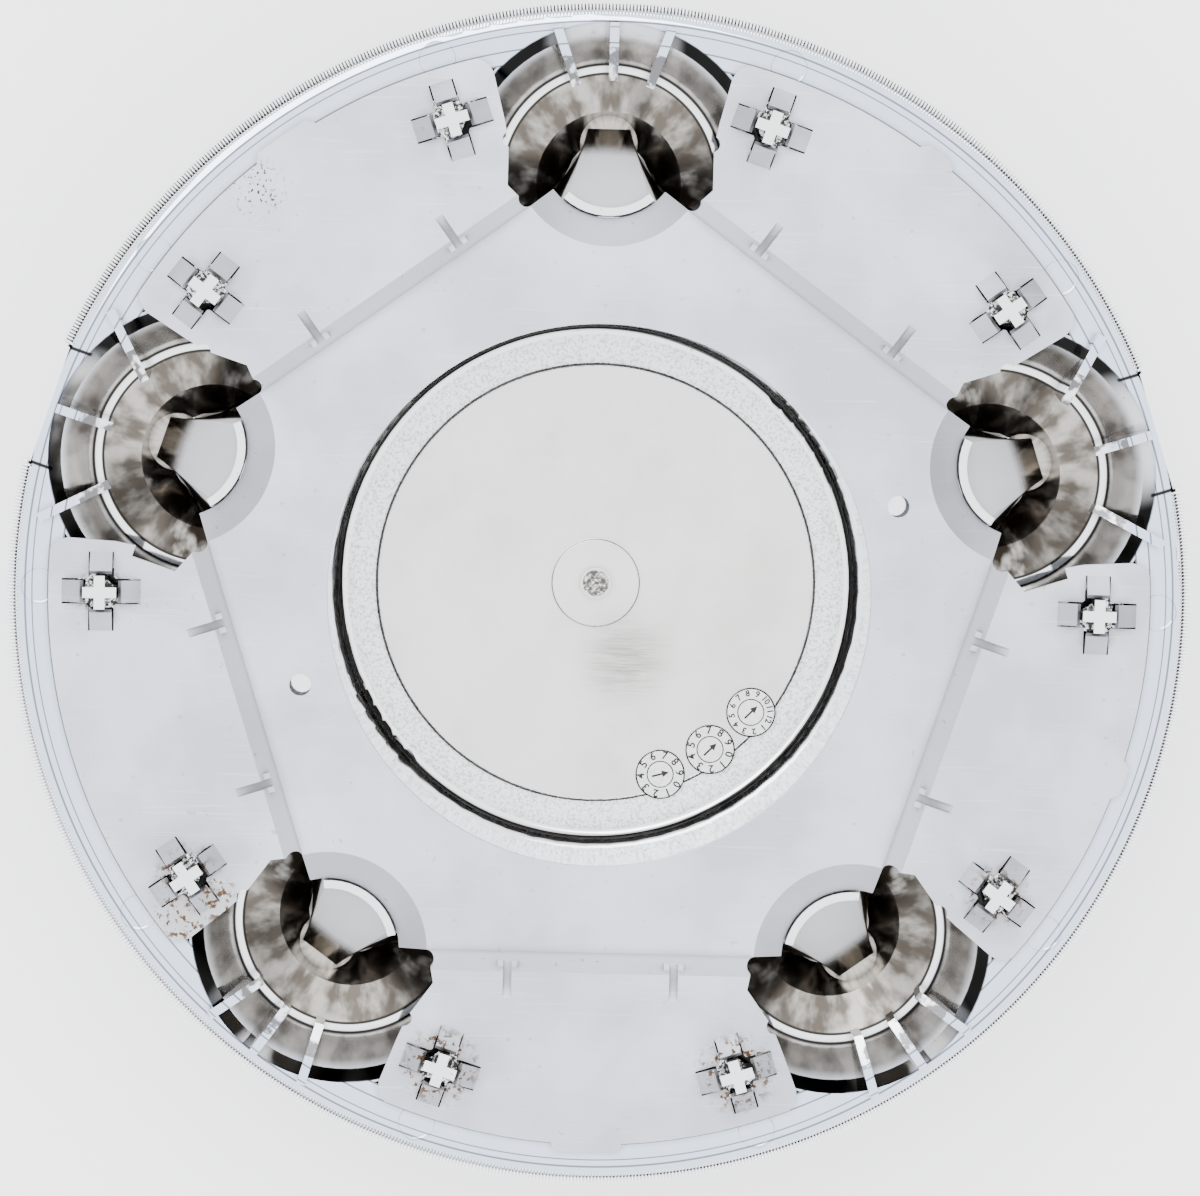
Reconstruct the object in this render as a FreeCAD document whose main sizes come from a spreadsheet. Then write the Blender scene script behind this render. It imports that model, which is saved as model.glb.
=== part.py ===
import FreeCAD, Part
import Sketcher
import math
import os
import re

V = FreeCAD.Vector

# Wheel centre cap, lying on its front face with the open back up.
# The wheel axis is Z, and Z = 0 is the front of the hub dome.
SIZES = {
    # Overall form
    "pocket_count": 5,
    "rim_radius": 88.9,
    "seat_height": 41.5,
    "lug_ring": 67.5,
    # Central dish, wall and floor
    "dish_mouth_radius": 40.9,
    "dish_draft": 0.4,
    "dish_wall": 2.1,
    "dish_corner": 1.5,
    "dish_floor": 2.4,
    "disc_margin": 6.5,
    "disc_rise": 0.6,
    "gate_radius": 6.7,
    "gate_rise": 0.3,
    "sprue_radius": 2.4,
    "sprue_rise": 0.5,
    "recess_margin": 7.0,
    "recess_depth": 0.8,
    "dome_corner": 2.5,
    # Web between the dome and the rim
    "web_depth": 8.5,
    "web_wall": 2.5,
    "web_flat": 28.9,
    "web_edge_width": 9.9,
    "web_edge_depth": 4.0,
    "valley_corner": 3.0,
    # Rim, measured in from the outside and down from the plate's seat
    "land_width": 8.4,
    "lip_width": 2.9,
    "lip_radius": 3.0,
    "lip_depth": 5.4,
    "bead_width": 1.5,
    "bead_depth": 6.7,
    "bead_corner": 1.8,
    "cove_inner_width": 5.5,
    "cove_outer_width": 3.7,
    "cove_depth": 2.6,
    # Lug pocket, its places measured from the lug circle
    "mouth_offset": 4.7,
    "bevel_radius": 23.2,
    "bevel_drop": 1.8,
    "mouth_radius": 21.4,
    "wall_offset": 5.3,
    "wall_radius": 23.9,
    "ledge_depth": 11.5,
    "ledge_offset": 4.9,
    "ledge_outer_radius": 17.4,
    "ledge_inner_radius": 16.0,
    "shoulder_drop": 3.0,
    "shoulder_offset": 5.5,
    "shoulder_radius": 11.0,
    "floor_depth": 21.0,
    "floor_offset": 0.7,
    "floor_radius": 4.4,
    "facet_offset": 10.5,
    "facet_slope": 1.08,
    "facet_wall": 3.3,
    "mouth_facet_half": 8.0,
    "ledge_facet_half": 5.9,
    "shoulder_facet_half": 5.2,
    "floor_facet_half": 3.2,
    "mouth_valley": 17.5,
    "ledge_valley": 10.3,
    "shoulder_valley": 8.2,
    "floor_valley": 2.2,
    "wall_side_offset": 3.5,
    "pocket_wall": 2.4,
    "pocket_side_wall": 2.0,
    # Curved rib at the hub side of each pocket
    "arc_rib_inner": 9.2,
    "arc_rib_outer": 10.4,
    "arc_rib_foot_depth": 12.0,
    "arc_rib_top_depth": 6.5,
    "arc_rib_spread": 82.0,
    # Upright ribs that bear on the lug nuts
    "rib_thick": 1.35,
    "rib_foot_drop": 1.4,
    "rib_foot_run": 4.0,
    "rib_root": 1.5,
    "rib_wall_run": 8.2,
    "rib_rise": 4.5,
    "rib_nose_drop": 1.5,
    "rib_slope_run": 5.0,
    "rib_draft": 1.2,
    "middle_gap": 9.5,
    "middle_length": 8.6,
    "plain_gap": 8.6,
    "plain_tip_side": 5.4,
    "plain_turn": 19.5,
    "plain_length": 9.4,
    "notched_gap": 7.1,
    "notched_tip_side": 8.1,
    "notched_turn": 45.0,
    "notched_length": 11.6,
    # Rim notches beyond two of the pockets
    "notch_depth": 1.9,
    "notch_half": 9.0,
    # Posts that hold the plate
    "post_inset": 14.4,
    "post_turn": 17.4,
    "post_half": 2.5,
    "post_arm": 1.6,
    "post_rise": 5.0,
    "boss_radius": 4.0,
    "boss_depth": 6.5,
    # Plate sheet and pan
    "sheet": 1.0,
    "plate_inset": 6.5,
    "pan_drop": 5.0,
    "pan_crease": 54.0,
    "pan_slope": 2.5,
    "pan_wall": 0.9,
    "hub_clearance": 0.1,
    "pilot_radius": 1.65,
    "pilot_ring": 47.0,
    # Plate edge at the lug pockets, its places measured from the lug circle
    "bend_radius": 15.0,
    "edge_radius": 10.7,
    "edge_drop": 3.0,
    "edge_overlap": 0.3,
    "edge_spread": 104.0,
    "relief_radius": 1.2,
    "relief_end_half": 13.6,
    "relief_end_offset": 7.9,
    "slot_half": 15.3,
    "slot_start_offset": 6.3,
    "scallop_start_offset": 0.6,
    "scallop_length": 2.2,
    "scallop_radius": 1.2,
    "waist_half": 15.6,
    "step_half": 17.3,
    "step_end_offset": 0.5,
    "flare_start_offset": 3.5,
    "flare_start_half": 16.0,
    "flare_end_inset": 5.2,
    "flare_end_half": 17.6,
    "lobe_corner": 3.4,
    "lobe_corner_half": 21.2,
    "lobe_corner_inset": 2.5,
    # Pressed darts across the pan bend
    "dart_side": 12.5,
    "dart_reach": 4.0,
    "dart_start": 1.0,
    "dart_drop": 2.6,
    "dart_width": 1.3,
    "dart_body": 3.0,
    # Sprung tangs round each post
    "tang_hole": 2.9,
    "tang_root": 5.9,
    "tang_clearance": 0.1,
    "tang_rise": 1.6,
    "tang_width": 3.3,
    "tang_slit": 0.25,
    # Edge tabs on the lobes
    "tab_reach": 1.1,
    "tab_long_half": 5.25,
    "tab_short_half": 3.0,
    "tab_slant": 1.1,
    # Cutting allowance
    "margin": 1.0,
}
# Places that follow from the sizes
PLACES = {
    "dish_foot_radius": "dish_mouth_radius - dish_draft",
    "disc_radius": "dish_foot_radius - disc_margin",
    "recess_radius": "dish_foot_radius - recess_margin",
    "web_height": "seat_height - web_depth",
    "web_flat_radius": "rim_radius - web_flat",
    "web_edge_radius": "rim_radius - web_edge_width",
    "web_edge_height": "seat_height - web_edge_depth",
    "land_inner_radius": "rim_radius - land_width",
    "land_outer_radius": "rim_radius - lip_width",
    "bead_radius": "rim_radius - bead_width",
    "bead_height": "seat_height - bead_depth",
    "cove_inner_radius": "rim_radius - cove_inner_width",
    "cove_outer_radius": "rim_radius - cove_outer_width",
    "cove_height": "seat_height - cove_depth",
    "mouth_center": "lug_ring - mouth_offset",
    "wall_center": "lug_ring - wall_offset",
    "wall_side": "lug_ring - wall_side_offset",
    "ledge_height": "seat_height - ledge_depth",
    "ledge_center": "lug_ring - ledge_offset",
    "shoulder_height": "ledge_height - shoulder_drop",
    "shoulder_center": "lug_ring - shoulder_offset",
    "floor_height": "seat_height - floor_depth",
    "floor_center": "lug_ring + floor_offset",
    "facet_top_radius": "lug_ring - facet_offset",
    "arc_rib_foot": "seat_height - arc_rib_foot_depth",
    "arc_rib_top": "seat_height - arc_rib_top_depth",
    "rib_foot": "ledge_height - rib_foot_drop",
    "rib_wall_height": "seat_height - rib_root",
    "rib_top": "seat_height + rib_rise",
    "middle_tip": "lug_ring + middle_gap",
    "plain_tip": "lug_ring + plain_gap",
    "notched_tip": "lug_ring + notched_gap",
    "notch_radius": "rim_radius - notch_depth",
    "post_ring": "rim_radius - post_inset",
    "post_top": "seat_height + post_rise",
    "boss_foot": "seat_height - boss_depth",
    "plate_radius": "rim_radius - plate_inset",
    "pan_bend": "pan_crease + pan_slope",
    "hub_hole_radius": "dish_mouth_radius + hub_clearance",
    "relief_end": "lug_ring - relief_end_offset",
    "slot_start": "lug_ring - slot_start_offset",
    "scallop_start": "lug_ring - scallop_start_offset",
    "scallop_end": "scallop_start + scallop_length",
    "step_end": "lug_ring + step_end_offset",
    "flare_start": "lug_ring + flare_start_offset",
    "flare_end": "plate_radius - flare_end_inset",
    "lobe_corner_end": "plate_radius - lobe_corner_inset",
    "dart_in": "pan_crease + dart_start",
    "dart_out": "pan_bend + dart_reach",
    "tang_tip": "post_half + tang_clearance",
}
POCKETS = (18, 90, 162, 234, 306)
NOTCHED = (18, 162)
STEPPED_SIDE = {18: 1, 162: -1}
TABS = {
    54: ("tab_short_half", "tab_slant"),
    126: ("tab_long_half", "tab_slant"),
    270: ("tab_long_half", "tab_slant / 4"),
    342: ("tab_short_half", "tab_slant"),
}
WORD = re.compile(r"[a-z_]+")


def fill_sheet(doc):
    sheet = doc.addObject("Spreadsheet::Sheet", "Sizes")
    for row, (name, number) in enumerate(SIZES.items(), start=1):
        sheet.set(f"A{row}", name)
        sheet.set(f"B{row}", str(number))
        sheet.setAlias(f"B{row}", name)
    doc.recompute()
    return sheet


def link_word(word):
    if word[0] in PLACES:
        return "(" + linked(PLACES[word[0]]) + ")"
    return "Sizes." + word[0] if word[0] in SIZES else word[0]


def linked(text):
    """The expression with every size pointing at its cell."""
    return WORD.sub(link_word, str(text))


def number(text):
    return float(SHEET.evalExpression(linked(text)))


# Sketches

def origin_item(body, role):
    return next(item for item in body.Origin.OriginFeatures if item.Role == role)


def bind_number(item, path, text):
    item.setExpression(path, linked(text))


def sketch_on(body, name, plane, base=("0", "0", "0"), turn="0", about="z"):
    """A sketch on an origin plane, moved by base and turned about one of its own axes."""
    sketch = body.newObject("Sketcher::SketchObject", name)
    sketch.AttachmentSupport = [(origin_item(body, plane), "")]
    sketch.MapMode = "FlatFace"
    axis = V(0, 0, 1) if about == "z" else V(0, 1, 0)
    place = FreeCAD.Placement(V(*[number(part) for part in base]), FreeCAD.Rotation(axis, number(turn)))
    sketch.AttachmentOffset = place
    for part, text in zip("xyz", base):
        if text != "0":
            bind_number(sketch, f"AttachmentOffset.Base.{part}", text)
    if turn != "0":
        bind_number(sketch, "AttachmentOffset.Rotation.Angle", turn)
    return sketch


def bend(radius, side=1):
    """A curved edge between two corners, turning left (1) or right (-1)."""
    return ("bend", radius, side)


def split_outline(items):
    corners, bends = [], {}
    for item in items:
        if item[0] == "bend":
            bends[len(corners) - 1] = item
        else:
            corners.append(item)
    return corners, bends


def arc_between(start, end, radius, side):
    """The short arc from start to end, as a counter-clockwise piece."""
    chord = end - start
    middle = (start + end) * 0.5
    normal = V(-chord.y, chord.x, 0).normalize() * side
    center = middle + normal * math.sqrt(radius * radius - chord.Length ** 2 / 4)
    first, last = (start, end) if side > 0 else (end, start)
    angles = [math.atan2(p.y - center.y, p.x - center.x) for p in (first, last)]
    if angles[1] < angles[0]:
        angles[1] += 2 * math.pi
    return Part.ArcOfCircle(Part.Circle(center, V(0, 0, 1), radius), *angles)


def pin_point(sketch, item, end, corner):
    for kind, text in zip(("DistanceX", "DistanceY"), corner):
        index = sketch.addConstraint(Sketcher.Constraint(kind, -1, 1, item, end, number(text)))
        bind_number(sketch, f"Constraints[{index}]", text)


def draw(sketch, items):
    """A closed outline through the corners, each pinned to its sizes."""
    corners, bends = split_outline(items)
    points = [V(number(across), number(along), 0) for across, along in corners]
    ends = []
    for index, start in enumerate(points):
        finish = points[(index + 1) % len(points)]
        if index in bends:
            radius, side = bends[index][1:]
            item = sketch.addGeometry(arc_between(start, finish, number(radius), side), False)
            ends.append((item, 1, 2) if side > 0 else (item, 2, 1))
            place = sketch.addConstraint(Sketcher.Constraint("Radius", item, number(radius)))
            bind_number(sketch, f"Constraints[{place}]", radius)
        else:
            item = sketch.addGeometry(Part.LineSegment(start, finish), False)
            ends.append((item, 1, 2))
    for index, (item, first, last) in enumerate(ends):
        pin_point(sketch, item, first, corners[index])
        following, next_first, _ = ends[(index + 1) % len(ends)]
        sketch.addConstraint(Sketcher.Constraint("Coincident", item, last, following, next_first))


def draw_circle(sketch, center, radius):
    circle = Part.Circle(V(number(center[0]), number(center[1]), 0), V(0, 0, 1), number(radius))
    item = sketch.addGeometry(circle, False)
    pin_point(sketch, item, 3, center)
    place = sketch.addConstraint(Sketcher.Constraint("Radius", item, number(radius)))
    bind_number(sketch, f"Constraints[{place}]", radius)


def mirrored(half):
    """The mirror image of a half outline, in the order that closes it."""
    return [item if item[0] == "bend" else (f"-({item[0]})", item[1]) for item in reversed(half)]


def turned(items, turn, center=("0", "0")):
    """An outline turned by an angle in degrees and moved to a centre."""
    cos, sin = f"cos(({turn}) * 1 deg)", f"sin(({turn}) * 1 deg)"
    moved = []
    for item in items:
        if item[0] == "bend":
            moved.append(item)
            continue
        across, along = item
        moved.append((f"{center[0]} + ({across}) * {cos} - ({along}) * {sin}",
                      f"{center[1]} + ({across}) * {sin} + ({along}) * {cos}"))
    return moved


# Features

def straight(body, kind, name, sketch, length, both=False):
    feature = body.newObject("PartDesign::" + kind, name)
    feature.Profile = sketch
    feature.SideType = "Symmetric" if both else "One side"
    bind_number(feature, "Length", length)
    feature.Refine = False
    return feature


def spun(body, kind, name, sketch, angle="360", both=False):
    feature = body.newObject("PartDesign::" + kind, name)
    feature.Profile = sketch
    feature.ReferenceAxis = (sketch, ["V_Axis"])
    feature.Midplane = both
    bind_number(feature, "Angle", angle)
    feature.Refine = False
    return feature


def lofted(body, kind, name, sketches):
    feature = body.newObject("PartDesign::" + kind, name)
    feature.Profile = sketches[0]
    feature.Sections = sketches[1:]
    feature.Ruled = True
    feature.Refine = False
    return feature


def around(body, name, features):
    """The features repeated for every pocket round the wheel axis."""
    pattern = body.newObject("PartDesign::PolarPattern", name)
    pattern.Originals = features
    pattern.Axis = (origin_item(body, "Z_Axis"), [""])
    pattern.Angle = 360
    bind_number(pattern, "Occurrences", "pocket_count")
    pattern.Refine = False
    body.Tip = pattern
    return pattern


# Chrome moulding

def shell(body):
    sketch = sketch_on(body, "shell_profile", "XZ_Plane")
    disc = "dish_floor + disc_rise"
    gate = f"{disc} + gate_rise"
    dome = "dish_mouth_radius + dish_wall"
    pan_under = "seat_height - pan_drop"
    draw(sketch, [
        ("0", "recess_depth"),
        ("recess_radius", "recess_depth"),
        ("recess_radius", "0"),
        ("dish_foot_radius + dish_wall - dome_corner", "0"), bend("dome_corner"),
        ("dish_foot_radius + dish_wall", "dome_corner"),
        (dome, "web_height - web_wall - valley_corner"), bend("valley_corner", -1),
        (f"{dome} + valley_corner", "web_height - web_wall"),
        ("web_flat_radius", "web_height - web_wall"),
        ("cove_inner_radius - margin", "web_edge_height - web_wall"),
        ("cove_inner_radius", "cove_height"),
        ("cove_outer_radius", "cove_height"),
        ("cove_outer_radius + margin", "bead_height + margin"),
        ("bead_radius", "bead_height"), bend("bead_corner"),
        ("rim_radius", "seat_height - lip_depth"),
        ("rim_radius", "seat_height - lip_radius"), bend("lip_radius"),
        ("land_outer_radius", "seat_height"),
        ("land_inner_radius", "seat_height"),
        ("web_edge_radius", "web_edge_height"),
        ("web_flat_radius", "web_height"),
        (dome, "web_height"),
        (dome, pan_under),
        ("dish_mouth_radius", pan_under),
        ("dish_foot_radius", "dish_floor + dish_corner"), bend("dish_corner", -1),
        ("dish_foot_radius - dish_corner", "dish_floor"),
        ("disc_radius", "dish_floor"),
        ("disc_radius", disc),
        ("gate_radius", disc),
        ("gate_radius", gate),
        ("sprue_radius", gate),
        ("sprue_radius", f"{gate} + sprue_rise"),
        ("0", f"{gate} + sprue_rise"),
    ])
    return spun(body, "Revolution", "shell", sketch)


def cup_outline(center, radius, side, facet=None):
    """A round cup section, cut off at the hub side or with a raised facet between two valleys."""
    side_half = f"sqrt(({radius})^2 - ({side} - ({center}))^2)"
    half = [(side_half, side), bend(radius)]
    if facet:
        half.insert(0, facet)
    return half + [("0", f"{center} + {radius}")] + mirrored(half)


def facet_at(height):
    return f"facet_top_radius + (web_height - ({height})) * facet_slope"


def cup_section(body, name, height, outline):
    sketch = sketch_on(body, name, "XY_Plane", ("0", "0", height))
    draw(sketch, outline)
    return sketch


def inner_section(body, name, height, level, radius=None, height_of_facet=None):
    """A section of a pocket's hollow at one of its levels."""
    center = f"{level}_center"
    facet = (f"{level}_facet_half", facet_at(height_of_facet or height))
    outline = cup_outline(center, radius or f"{level}_radius", f"lug_ring - {level}_valley", facet)
    return cup_section(body, name, height, outline)


def outer_section(body, name, height, level, radius):
    """A section of a nut form's outside, a wall's thickness out from the hollow."""
    facet = (f"{level}_facet_half + facet_wall / 3", f"{facet_at(height)} - facet_wall")
    valley = f"lug_ring - {level}_valley - pocket_side_wall"
    outline = cup_outline(f"{level}_center", f"{radius} + pocket_side_wall", valley, facet)
    return cup_section(body, name, height, outline)


def nut_forms(body):
    """Five hollow nut shapes that stand out of the front, and the walls above them."""
    forms = lofted(body, "AdditiveLoft", "nut_form", [
        outer_section(body, "form_top", "web_height", "ledge", "ledge_outer_radius + margin"),
        outer_section(body, "form_ledge", "ledge_height - pocket_wall", "ledge",
                      "ledge_outer_radius - margin / 2"),
        outer_section(body, "form_shoulder", "shoulder_height - pocket_wall", "shoulder", "shoulder_radius"),
        outer_section(body, "form_nose", "floor_height - pocket_wall", "floor", "floor_radius"),
    ])
    walls = lofted(body, "AdditiveLoft", "cup_wall", [
        cup_section(body, "wall_top", "seat_height", cup_outline("wall_center", "wall_radius", "wall_side")),
        cup_section(body, "wall_foot", "ledge_height",
                    cup_outline("ledge_center", "ledge_outer_radius + pocket_side_wall", "wall_side")),
    ])
    around(body, "nut_forms", [forms, walls])


def post_places(middle):
    """The turn and the place of the two posts beside a lobe's centre line."""
    for turn in (f"{middle} - post_turn", f"{middle} + post_turn"):
        yield turn, (f"post_ring * cos(({turn}) * 1 deg)", f"post_ring * sin(({turn}) * 1 deg)")


def cross(half, width):
    arm = f"{width} / 2"
    quarter = [(half, f"-{arm}"), (half, arm), (arm, arm)]
    corners = list(quarter)
    for _ in range(3):
        quarter = [(f"-({along})", across) for across, along in quarter]
        corners += quarter
    return corners


def bosses(body):
    sketch = sketch_on(body, "boss_outlines", "XY_Plane", ("0", "0", "boss_foot"))
    for _, place in post_places(54):
        draw_circle(sketch, place, "boss_radius")
    pair = straight(body, "Pad", "boss_pair", sketch, "seat_height - boss_foot")
    around(body, "bosses", [pair])


def cavities(body):
    cup = lofted(body, "SubtractiveLoft", "cup_hollow", [
        inner_section(body, "hollow_above", "seat_height + margin", "mouth", "bevel_radius", "seat_height"),
        inner_section(body, "hollow_bevel", "seat_height", "mouth", "bevel_radius", "seat_height"),
        inner_section(body, "hollow_mouth", "seat_height - bevel_drop", "mouth"),
        inner_section(body, "hollow_ledge", "ledge_height", "ledge", "ledge_outer_radius"),
    ])
    nose = lofted(body, "SubtractiveLoft", "nose_hollow", [
        inner_section(body, "nose_ledge", "ledge_height", "ledge", "ledge_inner_radius"),
        inner_section(body, "nose_shoulder", "shoulder_height", "shoulder"),
        inner_section(body, "nose_floor", "floor_height", "floor"),
    ])
    around(body, "lug_pockets", [cup, nose])


def arc_ribs(body):
    sketch = sketch_on(body, "arc_rib_profile", "YZ_Plane", ("lug_ring", "0", "0"))
    draw(sketch, [
        ("-arc_rib_outer", "arc_rib_foot"),
        ("-arc_rib_inner", "arc_rib_foot"),
        ("-arc_rib_inner", "arc_rib_top"),
        ("-arc_rib_outer", "arc_rib_top"),
    ])
    rib = spun(body, "Revolution", "arc_rib", sketch, "arc_rib_spread", both=True)
    around(body, "arc_ribs", [rib])


def rib(body, name, pocket, tip, side, turn, length):
    """One upright rib that runs in from the rim and points at the lug nut."""
    across, along = turned([(tip, side)], pocket)[0]
    sketch = sketch_on(body, name + "_profile", "XZ_Plane", (across, "0", f"-({along})"),
                       f"{pocket} + {turn}", about="y")
    draw(sketch, [
        ("rib_draft", "rib_foot"),
        ("rib_foot_run", "rib_foot"),
        ("rib_wall_run", "rib_wall_height"),
        (length, "rib_wall_height"),
        (length, "rib_top"),
        ("rib_slope_run", "rib_top"),
        ("0", "rib_top - rib_nose_drop"),
    ])
    return straight(body, "Pad", name, sketch, "rib_thick", both=True)


def ribs(body):
    middle = rib(body, "rib_middle", 90, "middle_tip", "0", "0", "middle_length")
    around(body, "middle_ribs", [middle])
    for pocket in POCKETS:
        kind = "notched" if pocket in NOTCHED else "plain"
        for side, word in ((-1, "right"), (1, "left")):
            rib(body, f"rib_{pocket}_{word}", pocket, f"{kind}_tip", f"{side} * {kind}_tip_side",
                f"{side} * {kind}_turn", f"{kind}_length")


def posts(body):
    sketch = sketch_on(body, "post_outlines", "XY_Plane", ("0", "0", "boss_foot + margin"))
    for turn, place in post_places(54):
        draw(sketch, turned(cross("post_half", "post_arm"), turn, place))
    pair = straight(body, "Pad", "post_pair", sketch, "post_top - boss_foot - margin")
    around(body, "posts", [pair])


def notches(body):
    sketch = sketch_on(body, "notch_outlines", "XY_Plane", ("0", "0", "seat_height + margin"))
    for pocket in NOTCHED:
        draw(sketch, turned([
            ("-notch_half", "notch_radius"),
            ("notch_half", "notch_radius"),
            ("notch_half", "rim_radius + margin"),
            ("-notch_half", "rim_radius + margin"),
        ], pocket - 90))
    straight(body, "Pocket", "notches", sketch, "seat_height - bead_height + margin * 2")


def cap_moulding(doc):
    body = doc.addObject("PartDesign::Body", "cap_moulding")
    body.Label = "cap_moulding"
    shell(body)
    notches(body)
    nut_forms(body)
    bosses(body)
    cavities(body)
    arc_ribs(body)
    posts(body)
    ribs(body)
    return body


# Steel plate

def five_sided(body, name, height, apothem):
    """A regular five-sided outline with flats towards the lobes and corners at the pockets."""
    corner = f"({apothem}) / cos(36 deg)"
    sketch = sketch_on(body, name, "XY_Plane", ("0", "0", height))
    turns = [18 + 72 * step for step in range(5)]
    draw(sketch, [(f"{corner} * cos({turn} deg)", f"{corner} * sin({turn} deg)") for turn in turns])
    return sketch


def sheet_and_pan(body):
    """The flat lobes with the sunk five-sided pan pressed between them."""
    disc = sketch_on(body, "disc_outline", "XY_Plane", ("0", "0", "seat_height"))
    draw_circle(disc, ("0", "0"), "plate_radius")
    straight(body, "Pad", "disc", disc, "sheet")
    lofted(body, "AdditiveLoft", "pan_outside", [
        five_sided(body, "pan_outside_top", "seat_height + sheet / 2", "pan_bend + pan_wall + sheet / 4"),
        five_sided(body, "pan_outside_foot", "seat_height - pan_drop", "pan_crease + pan_wall"),
    ])
    lofted(body, "SubtractiveLoft", "pan_inside", [
        five_sided(body, "pan_inside_top", "seat_height + sheet", "pan_bend"),
        five_sided(body, "pan_inside_foot", "seat_height + sheet - pan_drop", "pan_crease"),
    ])


def dart_triangle(body, name, side, top, inward, outward):
    sketch = sketch_on(body, name, "YZ_Plane", ("0", "0", f"{side} * dart_side"))
    draw(sketch, [
        (f"-({outward})", top),
        (f"-({inward})", f"{top} - dart_drop"),
        (f"-({inward})", top),
    ])
    return sketch


def darts(body):
    """Small creases pressed across the bend, two for each lobe."""
    bodies, grooves = [], []
    for side, name in ((-1, "dart_a"), (1, "dart_b")):
        under = dart_triangle(body, name + "_under", side, "seat_height", "dart_in", "dart_out + sheet")
        bodies.append(straight(body, "Pad", name + "_body", under, "dart_body", both=True))
    around(body, "dart_bodies", bodies)
    for side, name in ((-1, "dart_a"), (1, "dart_b")):
        above = dart_triangle(body, name + "_above", side, "seat_height + sheet", "dart_in", "dart_out")
        grooves.append(straight(body, "Pocket", name, above, "dart_width", both=True))
    around(body, "darts", grooves)


def slot_side(stepped):
    """One side of a lug slot, from the hub side out past the edge of the plate."""
    half_spread = "edge_spread / 2 * 1 deg"
    start = [
        (f"bend_radius * sin({half_spread})", f"lug_ring - bend_radius * cos({half_spread})"),
        bend("relief_radius"),
        ("relief_end_half", "relief_end"),
    ]
    scallop = [("slot_half", "slot_start"), ("slot_half", "scallop_start"), bend("scallop_radius"),
               ("waist_half", "scallop_end")]
    step = [("step_half", "slot_start"), ("step_half", "step_end"), ("waist_half", "step_end")]
    finish = [
        ("flare_start_half", "flare_start"),
        ("flare_end_half", "flare_end"), bend("lobe_corner", -1),
        ("lobe_corner_half", "lobe_corner_end"),
        ("lobe_corner_half", "plate_radius + margin"),
    ]
    return start + (step if stepped else scallop) + finish


def slots(body):
    for pocket in POCKETS:
        sketch = sketch_on(body, f"slot_{pocket}_outline", "XY_Plane",
                           ("0", "0", "seat_height + sheet + margin"), f"{pocket} - 90")
        stepped = STEPPED_SIDE.get(pocket, 0)
        draw(sketch, slot_side(stepped > 0) + mirrored(slot_side(stepped < 0)) + [bend("bend_radius")])
        straight(body, "Pocket", f"slot_{pocket}", sketch, "pan_drop + sheet + margin * 3")


def turned_edges(body):
    """The curved edge of each slot, turned down towards the lug nut."""
    sketch = sketch_on(body, "edge_profile", "YZ_Plane", ("lug_ring", "0", "0"))
    top = "seat_height + sheet - pan_drop"
    draw(sketch, [
        ("-(bend_radius + edge_overlap)", f"{top} - sheet"),
        ("-bend_radius", f"{top} - sheet"),
        ("-edge_radius", f"{top} - sheet - edge_drop"),
        ("-edge_radius", f"{top} - edge_drop"),
        ("-bend_radius", top),
        ("-(bend_radius + edge_overlap)", top),
    ])
    edge = spun(body, "Revolution", "turned_edge", sketch, "edge_spread", both=True)
    around(body, "turned_edges", [edge])


def hub_hole(body):
    sketch = sketch_on(body, "hub_hole_outline", "XY_Plane", ("0", "0", "seat_height"))
    draw_circle(sketch, ("0", "0"), "hub_hole_radius")
    straight(body, "Pocket", "hub_hole", sketch, "pan_drop + margin")


def pilot_holes(body):
    sketch = sketch_on(body, "pilot_outline", "XY_Plane", ("0", "0", "seat_height"))
    for side in ("", "-"):
        center = (f"{side}pilot_ring * cos(18 deg)", f"{side}pilot_ring * sin(18 deg)")
        draw_circle(sketch, center, "pilot_radius")
    straight(body, "Pocket", "pilot_holes", sketch, "pan_drop + margin")


def tang_holes(body):
    """The holes that grip the posts, each with slits between its four tangs."""
    top = "seat_height + sheet"
    rounds = sketch_on(body, "tang_hole_outlines", "XY_Plane", ("0", "0", top))
    slits = sketch_on(body, "slit_outlines", "XY_Plane", ("0", "0", top))
    for turn, place in post_places(270):
        draw_circle(rounds, place, "tang_hole")
        draw(slits, turned(cross("tang_root", "(tang_width + tang_slit * 2)"), turn, place))
    holes = [straight(body, "Pocket", name, sketch, "sheet + margin")
             for name, sketch in (("tang_hole_pair", rounds), ("slit_pair", slits))]
    around(body, "tang_holes", holes)


def tang_pair(body, name, turn, center):
    """Two facing tongues of the sheet, bent up towards the ends of a post's arm."""
    across, along = center
    top = "seat_height + sheet"
    tongue = [
        ("tang_root", "seat_height"),
        ("tang_root", top),
        ("tang_tip + sheet / 2", f"{top} + tang_rise"),
        ("tang_tip", f"{top} + tang_rise - sheet / 2"),
        ("tang_root - sheet / 2", "seat_height"),
    ]
    sketch = sketch_on(body, name + "_profile", "XZ_Plane", (across, "0", f"-({along})"), turn, about="y")
    draw(sketch, tongue)
    draw(sketch, mirrored(tongue))
    return straight(body, "Pad", name, sketch, "tang_width", both=True)


def tangs(body):
    pairs = []
    for post, (turn, place) in zip("ab", post_places(270)):
        for quarter in (0, 90):
            pairs.append(tang_pair(body, f"tangs_{post}_{quarter}", f"{turn} + {quarter}", place))
    around(body, "tangs", pairs)


def tab_outline(half, slant):
    return [
        (f"-({half})", "plate_radius - margin"),
        (half, "plate_radius - margin"),
        (half, "plate_radius"),
        (f"{half} - {slant}", "plate_radius + tab_reach"),
        (f"-({half} - {slant})", "plate_radius + tab_reach"),
        (f"-({half})", "plate_radius"),
    ]


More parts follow.
